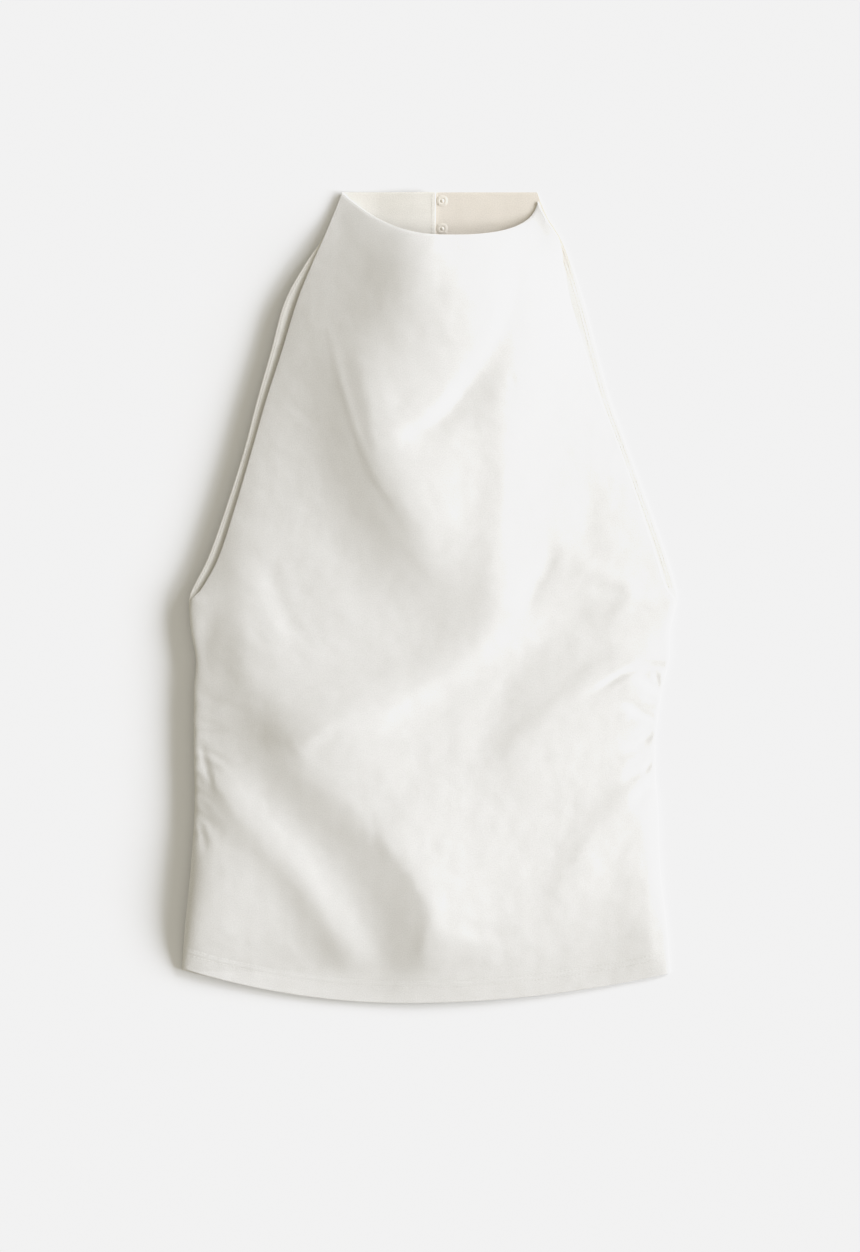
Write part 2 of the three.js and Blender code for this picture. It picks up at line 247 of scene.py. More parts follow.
@dataclass(frozen=True)
class Fold:
    """A fold or hollow along a path of (x, y) points.

    rise is its height, west and east are its widths on either side of the path, and start and
    end are the shares of its length over which it grows and dies away.
    """

    path: tuple[Pair, ...]
    rise: float
    west: float
    east: float
    start: float
    end: float


GATHER_BEND = 0.4
GATHER_FADE = 0.7


@dataclass(frozen=True)
class Gather:
    """A gather at a side seam: where it leaves the seam, how far it runs in and down, its size."""

    side: Side
    y: float
    reach: float
    fall: float
    depth: float
    width: float

    def fold(self) -> Fold:
        """Returns the gather as a short hollow that dies away from the seam."""
        seam = float(PATTERN.back_edge(self.side, self.y))
        inner = seam - self.side.value * self.reach
        middle = ((seam + inner) / 2, self.y - self.fall * GATHER_BEND)
        path = ((seam, self.y), middle, (inner, self.y - self.fall))
        return Fold(path, -self.depth, self.width, self.width, 0, GATHER_FADE)

    def pinch(self, y: Array) -> Array:
        """Returns how strongly the gather draws the cloth up at heights y, from 0 to 1."""
        return np.exp(-(((y - self.y) / self.width) ** 2))


# Each row is a path, then the rise, the west and east widths, and the start and end shares.
LARGE_FOLDS = (
    Fold(((4, 292), (2, 262), (-14, 230), (-46, 192)), 8.4, 43, 92, 0, 0.3),
    Fold(((-54, 205), (-54, 178), (-45, 154), (-43, 131), (-39, 107), (-26, 84), (-8, 60), (7, 37),
          (18, 14)),
         7, 38, 78, 0.15, 0.12),
    Fold(((-52, 205), (-52, 178), (-45, 154), (-43, 131), (-39, 107), (-26, 84), (-8, 60), (5, 40)),
         0.7, 9, 24, 0.2, 0.15),
    Fold(((72, 276), (70, 243), (60, 209), (38, 173), (8, 136), (-27, 121)), -1.2, 9, 22, 0.25, 0.2),
    Fold(((44, 180), (27, 158), (8, 138), (-12, 128), (-34, 121)), -1.1, 7, 10, 0.4, 0.25),
    Fold(((88, 285), (81, 245), (71, 202), (62, 170), (60, 120), (60, 84), (54, 45), (49, 5), (46, -33)),
         1.3, 18, 30, 0.35, 0.15),
    Fold(((45, 50), (43, 0), (30, -45)), 1.6, 34, 30, 0.35, 0.35),
    Fold(((-132, -104), (-78, -97), (-35, -82), (2, -61), (35, -38), (63, -17), (86, 6)),
         2.7, 26, 15, 0.11, 0.35),
    Fold(((-107, -105), (-104, -114), (-96, -124)), 0.5, 6, 36, 0.2, 0.3),
    Fold(((-152, 66), (-147, 34), (-143, 5), (-141, -30), (-138, -60), (-132, -92)), 1.5, 20, 38, 0.3, 0.3),
    Fold(((50, 290), (46, 250), (38, 205), (30, 170)), 2.2, 46, 60, 0, 0.4),
    Fold(((104, 322), (97, 300), (80, 284), (48, 279)), -2.2, 30, 20, 0, 0.5),
    Fold(((-12, 312), (-18, 285), (-34, 250)), 1.6, 34, 40, 0, 0.35),
    Fold(((-34, 318), (-41, 290), (-54, 258)), 2.4, 28, 60, 0, 0.45),
    Fold(((145, 6), (121, -14), (90, -35), (67, -58), (55, -80), (46, -107), (30, -131)),
         -0.9, 16, 16, 0.2, 0.2),
    Fold(((188, -43), (164, -45), (141, -53), (117, -72), (90, -96), (63, -123), (43, -135)),
         1.2, 12, 40, 0.1, 0.15),
    Fold(((176, -131), (142, -170), (113, -213), (90, -259)), 1, 14, 20, 0.05, 0.4),
    Fold(((172, -150), (170, -215), (172, -290)), 0.9, 20, 12, 0.2, 0),
    Fold(((-149, 6), (-142, -33), (-131, -62), (-118, -90), (-105, -115), (-80, -142), (-50, -169),
          (-31, -192), (-15, -211), (-4, -230), (2, -246), (-1, -267), (-3, -306)),
         4.8, 31, 80, 0.42, 0.06),
    Fold(((-50, -170), (-31, -192), (-15, -211), (-4, -230), (3, -246), (-1, -267), (-3, -306)),
         0.8, 8, 26, 0.2, 0.3),
    Fold(((-175, -135), (-163, -150), (-143, -174), (-120, -197), (-99, -220), (-84, -244), (-70, -267),
          (-50, -291)),
         1.9, 15, 18, 0.08, 0.06),
    Fold(((-191, -170), (-191, -220), (-193, -290)), 3, 30, 62, 0.3, 0),
)

GATHERS = (
    Gather(Side.LEFT, -86, 26, -8, 0.4, 4.5),
    Gather(Side.LEFT, -106, 34, -2, 0.55, 4.5),
    Gather(Side.LEFT, -127, 26, 12, 0.5, 4.2),
    Gather(Side.LEFT, -139, 18, 12, 0.35, 3.8),
    Gather(Side.LEFT, -150, 30, 20, 0.5, 4.5),
    Gather(Side.LEFT, -167, 26, 26, 0.45, 4.5),
    Gather(Side.LEFT, -185, 14, 22, 0.35, 4.5),
    Gather(Side.RIGHT, -52, 40, 8, 1, 4.2),
    Gather(Side.RIGHT, -72, 20, -12, 1.4, 4),
    Gather(Side.RIGHT, -88, 34, -6, 1.4, 4.2),
    Gather(Side.RIGHT, -101, 18, 6, 1.25, 3.8),
    Gather(Side.RIGHT, -113, 28, 4, 1.4, 4.2),
    Gather(Side.RIGHT, -129, 30, 20, 1.25, 4.5),
    Gather(Side.RIGHT, -145, 22, 22, 0.7, 4.5),
)

SMALL_CREASES = (
    Fold(((-80, 212), (-68, 166), (-59, 136), (-48, 105), (-31, 76), (-9, 44)), 0.2, 2.6, 3.4, 0.25, 0.25),
    Fold(((64, 171), (65, 167)), -0.5, 3, 3, 0, 0),
    Fold(((190, -52), (172, -53), (156, -57), (138, -67), (118, -80)), -1.3, 2.4, 3, 0, 0.5),
    Fold(((153, -85), (176, -94)), -0.9, 2.2, 2.2, 0.4, 0),
    Fold(((163, -113), (178, -105)), -0.9, 2.2, 2.2, 0.4, 0),
    Fold(((176, -58), (181, -70)), -0.9, 2.2, 2.2, 0.2, 0.2),
    Fold(((166, -139), (176, -126)), -0.7, 2.2, 2.2, 0.4, 0),
    Fold(((-179, -115), (-169, -150)), -0.6, 3, 3, 0.2, 0.2),
    Fold(((-181, -174), (-173, -197)), -0.6, 3, 3, 0.2, 0.3),
    Fold(((-167, -10), (-176, -32), (-179, -60)), -0.5, 7, 8, 0.2, 0.3),
    Fold(((-46, -165), (-41, -194)), -0.18, 3.4, 4.2, 0.3, 0.3),
    Fold(((-31, -193), (-12, -217)), -0.15, 3.4, 4.2, 0.3, 0.3),
    Fold(((21, -255), (45, -261), (70, -259)), -0.5, 6, 7, 0.3, 0.3),
    Fold(((-131, 33), (-117, -2), (-101, -41)), -0.5, 8, 9, 0.3, 0.3),
    Fold(((-111, 60), (-88, 20), (-60, -20), (-20, -40)), 0.3, 12, 14, 0.3, 0.3),
    Fold(((127, 99), (124, 60), (117, 29)), -0.5, 12, 12, 0.3, 0.3),
    Fold(((102, 45), (82, 6), (67, -14)), -0.6, 8, 6, 0.3, 0.3),
    Fold(((102, 25), (133, 17), (158, 4), (133, -29)), 0.4, 6, 8, 0.2, 0.3),
)

SIDE_CREASES = (
    Fold(((-181, -74), (-158, -84), (-128, -92)), -0.15, 3.2, 3.6, 0, 0.6),
    Fold(((-181, -97), (-163, -99)), -0.3, 2.8, 2.8, 0, 0.5),
    Fold(((-181, -118), (-166, -124), (-150, -137)), -0.35, 2.8, 3.2, 0, 0.6),
    Fold(((-181, -133), (-170, -138)), -0.35, 2.6, 2.6, 0, 0.5),
    Fold(((-181, -144), (-168, -152), (-155, -163)), -0.35, 2.8, 3, 0, 0.6),
    Fold(((-181, -158), (-170, -168)), -0.3, 2.6, 2.6, 0, 0.5),
    Fold(((-181, -176), (-172, -190)), -0.3, 2.8, 3, 0, 0.5),
    Fold(((181, -64), (170, -61), (154, -66)), -0.4, 2.6, 3, 0, 0.5),
    Fold(((179, -80), (166, -78)), -0.6, 2.4, 2.8, 0, 0.5),
    Fold(((178, -95), (163, -92), (150, -97)), -0.5, 2.6, 2.8, 0, 0.6),
    Fold(((177, -107), (166, -112)), -0.5, 2.4, 2.6, 0, 0.5),
    Fold(((177, -121), (163, -127), (150, -137)), -0.5, 2.6, 2.8, 0, 0.6),
    Fold(((177, -137), (168, -146)), -0.4, 2.6, 2.8, 0, 0.5),
)


class FoldField:
    """The summed height of many folds, each a row of soft samples along its path."""

    steps_per_span: int = 24
    spacing: float = 0.5
    reach: float = 3.3

    def __init__(self, folds: tuple[Fold, ...]) -> None:
        """Samples every fold once."""
        self.samples = [sample for fold in folds for sample in self._along(fold)]

    def _route(self, fold: Fold) -> Array:
        """Returns close points on a Catmull-Rom curve through a fold's path."""
        path = np.array(fold.path, float)
        ends = np.vstack([2 * path[0] - path[1], path, 2 * path[-1] - path[-2]])
        t = np.linspace(0, 1, self.steps_per_span, endpoint=False)[:, None]
        spans = []
        for a, b, c, d in zip(ends, ends[1:], ends[2:], ends[3:]):
            bend = (c - a) * t + (2 * a - 5 * b + 4 * c - d) * t**2 + (3 * b - a - 3 * c + d) * t**3
            spans.append(b + bend / 2)
        return np.vstack([*spans, path[-1:]])

    def _along(self, fold: Fold) -> list[tuple[float, ...]]:
        """Cuts a fold into samples.

        Args:
            fold: The fold to sample.

        Returns:
            Rows of place, eastward direction, strength, west, east and softness.
        """
        route = self._route(fold)
        run = run_lengths(route)
        soft = min(fold.west, fold.east)
        count = math.ceil(run[-1] / (self.spacing * soft))
        shares = (np.arange(count) + 0.5) / count
        slopes = [np.gradient(column, run) for column in route.T]
        x, y, tx, ty = (np.interp(shares * run[-1], run, column) for column in (*route.T, *slopes))
        size = np.hypot(tx, ty)
        turn = 1 if fold.path[-1][1] < fold.path[0][1] else -1
        grow = ease(shares / fold.start) if fold.start > 0 else np.ones(count)
        die = ease((1 - shares) / fold.end) if fold.end > 0 else np.ones(count)
        strength = fold.rise * grow * die * run[-1] / (count * soft * math.sqrt(math.pi))
        east_x = -ty * turn / size
        east_y = tx * turn / size
        return [(*row, fold.west, fold.east, soft) for row in zip(x, y, east_x, east_y, strength)]

    def height(self, x: Array, y: Array) -> Array:
        """Sums all folds at places.

        Args:
            x: Places across.
            y: Places along.

        Returns:
            The folds' height there.
        """
        flat_x = np.ravel(x).astype(float)
        flat_y = np.ravel(y).astype(float)
        total = np.zeros(flat_x.shape)
        for at_x, at_y, east_x, east_y, strength, west, east, soft in self.samples:
            span = self.reach * max(west, east)
            near = np.flatnonzero((np.abs(flat_x - at_x) < span) & (np.abs(flat_y - at_y) < span))
            dx = flat_x[near] - at_x
            dy = flat_y[near] - at_y
            across = dx * east_x + dy * east_y
            along = dx * east_y - dy * east_x
            width = np.where(across < 0, west, east)
            total[near] += strength * np.exp(-((across / width) ** 2) - (along / soft) ** 2)
        return total.reshape(np.shape(x))


@dataclass(frozen=True)
class Drape:
    """How the cloth rises off the table, in millimetres."""

    cloth: float = 0.7
    seam_gap: float = 0.15
    curl_reach: float = 34
    right_lift: float = 0.15
    right_roll: float = 0.3
    left_droop: float = 0.6
    right_droop: float = 0.8
    droop_reach: float = 9
    droop_power: float = 1.5
    roll_rise: float = 1.4
    roll_reach: float = 18
    dome_rise: float = 6.8
    crest: float = 0.61
    hem_reach: float = 100
    neck_share: float = 0.2
    neck_reach: float = 90
    rim_hold: float = 8
    ramp: float = 70
    hold: float = 3
    fall: float = 60
    ball_inset: float = 7
    ball_height: float = 1.1
    ball_spread: float = 45
    stud_radius: float = 4.5
    stud_clear: float = 1

    def inside(self, x: Array, y: Array) -> Array:
        """Returns how far places lie inside the front's nearer side edge."""
        left, right = PATTERN.front_edges(y)
        return np.maximum(0, np.minimum(x - left, right - x))

    def front_form(self, x: Array, y: Array) -> Array:
        """Shapes the front: rims lifted by the back's curl, rolled sides and a low dome between.

        Args:
            x: Places across.
            y: Places along.

        Returns:
            The height of the front's upper surface without its folds.
        """
        left, right = PATTERN.front_edges(y)
        share = np.clip((x - left) / (right - left), 0, 1)
        arm = np.where(share < self.crest, self.crest, 1 - self.crest)
        bow = 1 - ((share - self.crest) / arm) ** 2
        hem = ease((y - PATTERN.hemline(x)) / self.hem_reach)
        rise = self.roll_rise * blend(1, self.right_roll, ease(share))
        roll = rise * (1 - np.exp(-self.inside(x, y) / self.roll_reach))
        rim = PATTERN.edge("lift", y) * blend(1, self.right_lift, ease(share))
        neck = blend(self.neck_share, 1, ease((PATTERN.neck_y - y) / self.neck_reach))
        return rim + self.walls() + (roll + self.dome_rise * bow) * hem * neck

    def walls(self) -> float:
        """Returns the height of the front's upper face where it lies on the back."""
        return self.cloth + self.seam_gap + self.cloth

    def front_rest(self, x: Array, y: Array) -> Array:
        """Returns the front's upper surface if it lay right down on the back."""
        return self.back_bottom(x, y) + self.walls()

    def side_lift(self, side: Side, inside: Array, y: Array) -> Array:
        """Curls a side of the back off the table, with a droop where the armhole shows.

        Args:
            side: The side of the garment.
            inside: How far the places lie inside the back's edge, in millimetres.
            y: Places along.

        Returns:
            The side's lift off the table.
        """
        curl = ease(1 - inside / self.curl_reach)
        is_left = side is Side.LEFT
        height = PATTERN.edge("lift", y) * (1 if is_left else self.right_lift)
        most = self.left_droop if is_left else self.right_droop
        droop = most * ease(PATTERN.edge("shows", y) / self.droop_reach)
        roll = np.clip(1 - inside / self.droop_reach, 0, 1) ** self.droop_power
        return height * curl - np.minimum(height, droop) * roll

    def back_bottom(self, x: Array, y: Array) -> Array:
        """Returns the back's underside: flat on the table, curled up along both sides."""
        left = self.side_lift(Side.LEFT, np.maximum(0, x - PATTERN.back_edge(Side.LEFT, y)), y)
        right = self.side_lift(Side.RIGHT, np.maximum(0, PATTERN.back_edge(Side.RIGHT, y) - x), y)
        return left + right

    def overlap_lift(self, x: Array, y: Array, stud_heights: tuple[float, ...]) -> Array:
        """Returns the left half's extra height over the right half and over the hidden studs.

        Args:
            x: Places across.
            y: Places along.
            stud_heights: The studs' places along the opening.

        Returns:
            The lift at those places.
        """
        foot = PATTERN.slit_x(y) - PATTERN.underlap - self.hold - self.ramp
        across = ease((x - foot) / self.ramp)
        along = ease((y - PATTERN.slit_end() + self.fall) / (self.fall - self.hold))
        bump = np.zeros(np.shape(x))
        for stud_y in stud_heights:
            away = np.hypot(x - (PATTERN.slit_x(stud_y) - self.ball_inset), y - stud_y)
            near = 1 - ease((away - self.stud_radius - self.stud_clear) / self.ball_spread)
            bump = np.maximum(bump, near)
        lap = (self.cloth + self.seam_gap) * across * along
        return lap + (self.ball_height + self.seam_gap) * bump


DRAPE = Drape()


class ShaderTree:
    """A small builder for a material's nodes."""

    def __init__(self, name: str) -> None:
        """Makes a material with an empty node tree and an output."""
        self.material = bpy.data.materials.new(name)
        self.material.use_nodes = True
        self.nodes = self.material.node_tree.nodes
        self.nodes.clear()
        self.output = self.nodes.new("ShaderNodeOutputMaterial")

    def add(self, kind: str, settings: dict[str, object] | None = None, **links: object) -> bpy.types.Node:
        """Adds a node, sets its properties and fills its inputs.

        Args:
            kind: The node's type.
            settings: Properties of the node by name.
            **links: Inputs by name, with _ for a space; a socket is linked and a value is set.

        Returns:
            The new node.
        """
        node = self.nodes.new(kind)
        for key, value in (settings or {}).items():
            setattr(node, key, value)
        for key, value in links.items():
            self.fill(node.inputs[key.replace("_", " ")], value)
        return node

    def fill(self, socket: Socket, value: object) -> None:
        """Links a socket to another or sets its value."""
        if isinstance(value, Socket):
            self.material.node_tree.links.new(value, socket)
        else:
            socket.default_value = value

    def math(self, operation: str, *values: object) -> Socket:
        """Returns the result of a Math node on sockets or numbers."""
        node = self.add("ShaderNodeMath", {"operation": operation})
        for socket, value in zip(node.inputs, values):
            self.fill(socket, value)
        return node.outputs[0]

    def mix(self, share: object, low: object, high: object) -> Socket:
        """Returns a colour between two, each a socket or four numbers."""
        node = self.add("ShaderNodeMix", {"data_type": "RGBA"})
        for index, value in ((0, share), (6, low), (7, high)):
            self.fill(node.inputs[index], value)
        return node.outputs[2]

    def tint(self, share: object, low: tuple[float, ...], high: tuple[float, ...]) -> Socket:
        """Returns a colour between two colours of three numbers."""
        return self.mix(share, (*low, 1), (*high, 1))

    def place(self) -> Socket:
        """Returns the Object coordinates."""
        return self.add("ShaderNodeTexCoord").outputs["Object"]

    def noise(self, place: Socket, size: float, **links: object) -> Socket:
        """Returns noise whose patches are size millimetres across."""
        return self.add("ShaderNodeTexNoise", Vector=place, Scale=1 / (size * MM), **links).outputs["Fac"]

    def bump(self, height: Socket, depth: float, **links: object) -> Socket:
        """Returns the surface's direction under a relief that is depth millimetres deep."""
        node = self.add("ShaderNodeBump", Distance=depth * MM, Height=height, **links)
        return node.outputs["Normal"]

    def finish(self, kind: str, **links: object) -> Material:
        """Adds the shader of a kind, links it to the output and returns the material."""
        self.fill(self.output.inputs["Surface"], self.add(kind, **links).outputs["BSDF"])
        return self.material


@dataclass(frozen=True)
class Jersey:
    """Matt off-white cotton jersey: fine knit loops, faint mottling and a short soft nap."""

    name: str = "off_white_jersey"
    light: Colour = (0.83, 0.822, 0.796)
    shade: Colour = (0.735, 0.727, 0.702)
    # The tint and the armhole tint below are painted light and shade on the back's inner faces: the first
    # inside the neck, the second down the armhole strips, blended over the band of heights below.
    tint: Colour = (1, 1, 1)
    armhole_painted_shading: Colour | None = None
    painted_tone_band: Pair = (240, 285)
    wale: float = 0.75
    course: float = 0.6
    loop_depth: float = 0.06
    nap_size: float = 1.1
    nap_depth: float = 0.07
    mottle_size: float = 14
    fluff_size: float = 0.9
    wave_size: float = 22
    wave_depth: float = 0.5
    rib_depth: float = 1.6
    fluff_contrast: float = 2.2
    mottle_contrast: float = 0.5
    tone_level: float = -0.85
    roughness: float = 0.95
    specular: float = 0.2
    sheen: float = 0.08
    sheen_roughness: float = 0.6

    def tone(self, tree: ShaderTree, share: object, tint: tuple[float, ...]) -> Socket:
        """Returns the cloth's mottled colour under one tint, which on the back's inner faces is painted
        light and shade.
        """
        shade, light = (tuple(np.multiply(colour, tint)) for colour in (self.shade, self.light))
        return tree.tint(share, shade, light)

    def neck_share(self, tree: ShaderTree) -> Socket:
        """Returns 1 inside the neck and 0 down the armholes, on Object coordinates: the mask between the
        two painted light and shade tints.
        """
        height = tree.add("ShaderNodeSeparateXYZ", Vector=tree.place()).outputs["Y"]
        start, end = (y * MM for y in self.painted_tone_band)
        return tree.add("ShaderNodeMapRange", Value=height, From_Min=start, From_Max=end).outputs["Result"]

    def material(self) -> Material:
        """Returns the cloth's material, on the piece's own UV map in metres."""
        tree = ShaderTree(self.name)
        place = tree.add("ShaderNodeUVMap").outputs["UV"]
        axes = tree.add("ShaderNodeSeparateXYZ", Vector=place)
        across = tree.math("MULTIPLY", axes.outputs["X"], 1 / (self.wale * MM))
        along = tree.math("MULTIPLY", axes.outputs["Y"], 1 / (self.course * MM))
        leg = tree.math("ABSOLUTE", tree.math("SUBTRACT", tree.math("FRACT", across), 0.5))
        phase = tree.math("MULTIPLY", tree.math("ADD", along, leg), math.tau)
        loops = tree.math("MULTIPLY_ADD", tree.math("SINE", phase), 0.5, 0.5)
        ribs = tree.math("MULTIPLY", leg, self.rib_depth)
        knit = tree.math("ADD", loops, ribs)
        nap = tree.noise(place, self.nap_size, Detail=3.0, Roughness=0.6)
        mottle = tree.noise(place, self.mottle_size, Detail=4.0, Roughness=0.55)
        fluff = tree.noise(place, self.fluff_size, Detail=2.0)
        wave = tree.noise(place, self.wave_size, Detail=1.0)
        cloudy = tree.math("MULTIPLY_ADD", mottle, self.mottle_contrast, self.tone_level)
        patchy = tree.math("MULTIPLY_ADD", fluff, self.fluff_contrast, cloudy)
        # Painted light and shade: the tint inside the neck gives way to the armhole tint down the strips.
        colour = self.tone(tree, patchy, self.tint)
        if self.armhole_painted_shading is not None:
            colour = tree.mix(self.neck_share(tree), self.tone(tree, patchy, self.armhole_painted_shading), colour)
        fine = tree.bump(knit, self.loop_depth, Strength=1.0)
        soft = tree.bump(nap, self.nap_depth, Strength=1.0, Normal=fine)
        slack = tree.bump(wave, self.wave_depth, Strength=1.0, Normal=soft)
        return tree.finish(
            "ShaderNodeBsdfPrincipled",
            Base_Color=colour,
            Normal=slack,
            Roughness=self.roughness,
            Specular_IOR_Level=self.specular,
            Sheen_Weight=self.sheen,
            Sheen_Roughness=self.sheen_roughness,
        )


@dataclass(frozen=True)
class SewingThread:
    """Off-white polyester thread with a low sheen and a fine twist."""

    name: str = "off_white_thread"
    light: Colour = (0.84, 0.835, 0.81)
    shade: Colour = (0.74, 0.73, 0.69)
    twist: float = 0.35
    twist_depth: float = 0.05
    wobble: float = 0.5
    relief: float = 0.6
    roughness: float = 0.6

    def material(self) -> Material:
        """Returns the thread's material, on Object coordinates."""
        tree = ShaderTree(self.name)
        wave = tree.add(
            "ShaderNodeTexWave",
            {"bands_direction": "DIAGONAL"},
            Vector=tree.place(),
            Scale=1 / (self.twist * MM * math.tau),
            Distortion=self.wobble,
        )
        colour = tree.tint(wave.outputs["Fac"], self.shade, self.light)
        ply = tree.bump(wave.outputs["Fac"], self.twist_depth, Strength=self.relief)
        return tree.finish(
            "ShaderNodeBsdfPrincipled", Base_Color=colour, Normal=ply, Roughness=self.roughness
        )


@dataclass(frozen=True)
class StudPlastic:
    """Milky moulded plastic, slightly uneven in its cloudiness, coloured a warm beige that carries painted
    shade.
    """

    name: str = "milky_plastic_painted_shade"
    # The warm beige tones copy the back's inner face inside the neck, so they hold its painted warm shade
    # as well as the plastic's milky colour.
    light: Colour = (0.85, 0.8, 0.72)
    shade: Colour = (0.81, 0.76, 0.68)
    cloud_size: float = 2.5
    ripple_size: float = 0.8
    ripple_depth: float = 0.03
    relief: float = 0.5
    roughness: float = 0.3
    refraction: float = 1.49
    coat: float = 0.12
    coat_roughness: float = 0.15

    def material(self) -> Material:
        """Returns the plastic's material, on Object coordinates."""
        tree = ShaderTree(self.name)
        cloud = tree.noise(tree.place(), self.cloud_size, Detail=3.0)
        ripple = tree.noise(tree.place(), self.ripple_size, Detail=2.0)
        return tree.finish(
            "ShaderNodeBsdfPrincipled",
            Base_Color=tree.tint(cloud, self.shade, self.light),
            Normal=tree.bump(ripple, self.ripple_depth, Strength=self.relief),
            Roughness=self.roughness,
            IOR=self.refraction,
            Coat_Weight=self.coat,
            Coat_Roughness=self.coat_roughness,
        )


@dataclass(frozen=True)
class StudioPaper:
    """Plain pale paper under the garment."""

    name: str = "pale_paper"
    colour: Colour = (0.885, 0.89, 0.90)

    def material(self) -> Material:
        """Returns the paper's plain material."""
        return ShaderTree(self.name).finish("ShaderNodeBsdfDiffuse", Color=(*self.colour, 1))


def deselect() -> None:
    """Clears the selection, so that an operator acts on new pieces alone."""
    bpy.ops.object.select_all(action="DESELECT")


def select(*pieces: Piece) -> None:
    """Selects these objects alone and makes the first the active one."""
    deselect()
    for piece in pieces:
        piece.select_set(True)
    bpy.context.view_layer.objects.active = pieces[0]


def added(operator: Callable[..., object], **settings: object) -> Piece:
    """Runs an operator that adds one object, with nothing selected, and returns that object."""
    deselect()
    operator(**settings)
    return bpy.context.object


def apply_modifier(piece: Piece, kind: str, **settings: object) -> None:
    """Adds a modifier, sets it and applies it.

    Args:
        piece: The object to change.
        kind: The modifier's type.
        **settings: Its properties by name.
    """
    select(piece)
    modifier = piece.modifiers.new(kind.lower(), kind)
    for key, value in settings.items():
        setattr(modifier, key, value)
    bpy.ops.object.modifier_apply(modifier=modifier.name)


def arc_lengths(points: Array, axis: int) -> Array:
    """Returns the running distance along one axis of a grid of points."""
    steps = np.linalg.norm(np.diff(points, axis=axis), axis=2)
    start = np.zeros_like(np.take(steps, [0], axis=axis))
    return np.concatenate([start, np.cumsum(steps, axis=axis)], axis=axis)


def row_shares(zones: tuple[tuple[float, int], ...]) -> Array:
    """Spreads the rows of a sheet zone by zone.

    Args:
        zones: Pairs of the share of the height that a zone ends at and its number of rows.

    Returns:
        Shares from 0 to 1.
    """
    shares = [0.0]
    for end, rows in zones:
        shares += list(np.linspace(shares[-1], end, rows + 1)[1:])
    return np.array(shares)


def column_shares(count: int, crowding: float) -> Array:
    """Returns shares from 0 to 1 that lie closer together near both ends."""
    t = np.linspace(0, 1, count + 1)
    return t - crowding * np.sin(math.tau * t)


def lay_sheet(name: str, points: Array) -> Piece:
    """Makes a cloth wall from the points of its upper face.

    Args:
        name: The piece's name.
        points: Places in millimetres, by row, column and axis.

    Returns:
        The finished sheet, with its own UV map in metres.
    """
    rows, columns = points.shape[:2]
    sheet = added(
        bpy.ops.mesh.primitive_grid_add, x_subdivisions=columns - 1, y_subdivisions=rows - 1, size=1
    )
    sheet.name = name
    sheet.data.name = name
    mesh = sheet.data
    flat = np.empty(len(mesh.vertices) * 3, np.float32)
    mesh.vertices.foreach_get("co", flat)
    flat = flat.reshape(-1, 3)
    column = np.rint((flat[:, 0] + 0.5) * (columns - 1)).astype(int)
    row = np.rint((flat[:, 1] + 0.5) * (rows - 1)).astype(int)
    placed = (points[row, column] * MM).astype(np.float32)
    mesh.vertices.foreach_set("co", placed.ravel())
    across = arc_lengths(points, 1)
    along = arc_lengths(points, 0)
    uv = np.stack([across - across[:, columns // 2, None], along], axis=2) * MM
    corner = np.empty(len(mesh.loops), np.int32)
    mesh.loops.foreach_get("vertex_index", corner)
    corner_uv = uv[row[corner], column[corner]].astype(np.float32)
    mesh.uv_layers.active.data.foreach_set("uv", corner_uv.ravel())
    mesh.update()
    rounding = EDGE_ROUNDING * DRAPE.cloth * MM
    sharp = math.radians(EDGE_ANGLE)
    apply_modifier(sheet, "SOLIDIFY", thickness=DRAPE.cloth * MM, offset=-1, use_rim=True)
    apply_modifier(sheet, "BEVEL", width=rounding, segments=2, limit_method="ANGLE", angle_limit=sharp)
    select(sheet)
    bpy.ops.object.shade_smooth()
    return sheet


def dress(piece: Piece, material: Material, slot: str, *nodes: str) -> None:
    """Gives a piece its material and its place in the frame, and logs it.

    Args:
        piece: The finished object.
        material: Its material.
        slot: Not used.
        *nodes: The CAD nodes that it stands for.
    """
    piece.data.materials.clear()
    piece.data.materials.append(material)
    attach(piece, BODY)
    if nodes:
        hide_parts(*nodes)
    log.info("%s: %d faces", piece.name, len(piece.data.polygons))


@dataclass(frozen=True)
class StitchRow:
    """A row of short straight stitches lying on a sheet."""

    length: float = 2.0
    pitch: float = 2.9
    radius: float = 0.15
    sides: int = 6
    rings: int = 4

    def stitch(self) -> tuple[Array, list[tuple[int, ...]]]:
        """Models one stitch along X as a stretched ball.

        Returns:
            Its vertices in millimetres and its faces.
        """
        ball = added(
            bpy.ops.mesh.primitive_uv_sphere_add, segments=self.sides, ring_count=self.rings, radius=1
        )
        vertices = np.array([vertex.co[:] for vertex in ball.data.vertices])
        faces = [tuple(face.vertices) for face in ball.data.polygons]
        bpy.data.objects.remove(ball)
        vertices = vertices[:, [2, 0, 1]] * (self.length / 2, self.radius, self.radius)
        return vertices, faces

    def sew(self, name: str, routes: list[Array]) -> Piece:
        """Sews stitches along routes.

        Args:
            name: The piece's name.
            routes: Lines of points in millimetres that lie on the cloth.

        Returns:
            One mesh of all stitches.
        """
        shape, faces = self.stitch()
        vertices: list[Array] = []
        polygons: list[tuple[int, ...]] = []
        for route in routes:
            run = run_lengths(route)
            for start in np.arange(self.pitch / 2, run[-1] - self.length, self.pitch):
                ends = [
                    np.array([np.interp(start + step, run, route[:, axis]) for axis in range(3)])
                    for step in (0, self.length)
                ]
                along = (ends[1] - ends[0]) / np.linalg.norm(ends[1] - ends[0])
                side = np.cross((0, 0, 1), along)
                side /= np.linalg.norm(side)
                turn = np.stack([along, side, np.cross(along, side)])
                first = len(vertices) * len(shape)
                vertices.append(shape @ turn + (ends[0] + ends[1]) / 2)
                polygons += [tuple(first + corner for corner in face) for face in faces]
        mesh = bpy.data.meshes.new(name)
        mesh.from_pydata(np.vstack(vertices) * MM, [], polygons)
        piece = bpy.data.objects.new(name, mesh)
        bpy.context.collection.objects.link(piece)
        select(piece)
        bpy.ops.object.shade_smooth()
        return piece


